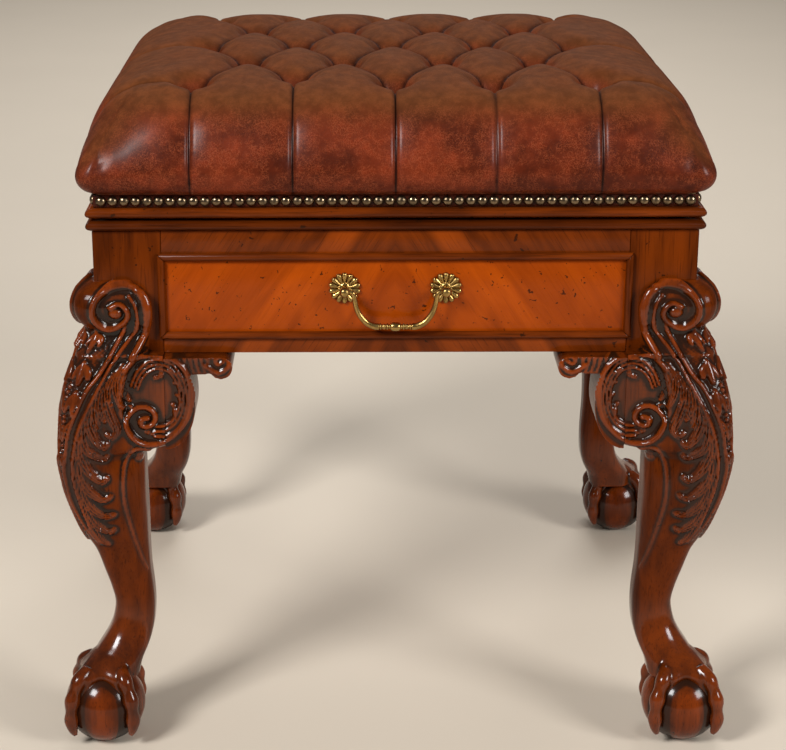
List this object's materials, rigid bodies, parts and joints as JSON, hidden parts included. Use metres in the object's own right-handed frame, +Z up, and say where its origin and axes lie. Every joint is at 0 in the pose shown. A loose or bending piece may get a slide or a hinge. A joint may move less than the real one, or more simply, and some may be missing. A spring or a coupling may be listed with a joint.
{
  "type": "bench",
  "caption": "Mahogany bench with carved cabriole legs on ball-and-claw feet, a front drawer with a brass bail pull and a tufted leather seat.",
  "frame": {"origin": "on the floor, under the middle of the bench", "axes": "+Z up, +X to the right seen from the front, and the drawer opens towards -Y"},
  "size_m": [0.5518, 0.4818, 0.5608],
  "materials": {
    "mahogany": "gloss",
    "drawer_veneer": "gloss",
    "lining_wood": "matte",
    "brass": "satin",
    "leather": "satin"
  },
  "bodies": {
    "case": {"leg_front_left": "mahogany", "leg_front_right": "mahogany", "leg_back_right": "mahogany", "leg_back_left": "mahogany", "knee_block_front_left_front": "mahogany", "knee_block_front_left_side": "mahogany", "knee_block_front_right_front": "mahogany", "knee_block_front_right_side": "mahogany", "knee_block_back_right_back": "mahogany", "knee_block_back_right_side": "mahogany", "knee_block_back_left_back": "mahogany", "knee_block_back_left_side": "mahogany", "front_top_rail": "mahogany", "front_bottom_rail": "mahogany", "back_rail": "mahogany", "left_rail": "mahogany", "right_rail": "mahogany", "frame_moulding_front": "mahogany", "frame_moulding_right": "mahogany", "frame_moulding_back": "mahogany", "frame_moulding_left": "mahogany", "seat_moulding_front": "mahogany", "seat_moulding_right": "mahogany", "seat_moulding_back": "mahogany", "seat_moulding_left": "mahogany", "seat_board": "lining_wood", "leather_border": "leather", "cushion": "leather", "drawer_runner_left": "lining_wood", "drawer_runner_right": "lining_wood", "drawer_guide_left": "lining_wood", "drawer_guide_right": "lining_wood", "drawer_kicker_left": "lining_wood", "drawer_kicker_right": "lining_wood", "drawer_stop_left": "lining_wood", "drawer_stop_right": "lining_wood"},
    "drawer": {"drawer_front": "drawer_veneer", "drawer_side_left": "lining_wood", "drawer_side_right": "lining_wood", "drawer_back": "lining_wood", "drawer_bottom": "lining_wood", "drawer_bead_bottom": "mahogany", "drawer_bead_right": "mahogany", "drawer_bead_top": "mahogany", "drawer_bead_left": "mahogany", "rosette_left": "brass", "rosette_right": "brass"},
    "bail": {"bail_handle": "brass"}
  },
  "joints": [
    {"name": "drawer_slide", "type": "slide", "parent": "case", "child": "drawer", "axis": [0, -1, 0], "range_m": [0, 0.26]},
    {"name": "bail_swing", "type": "hinge", "parent": "drawer", "child": "bail", "pos_m": [0, -0.217, 0.3977], "axis": [-1, 0, 0], "range_deg": [-10, 170]}
  ]
}
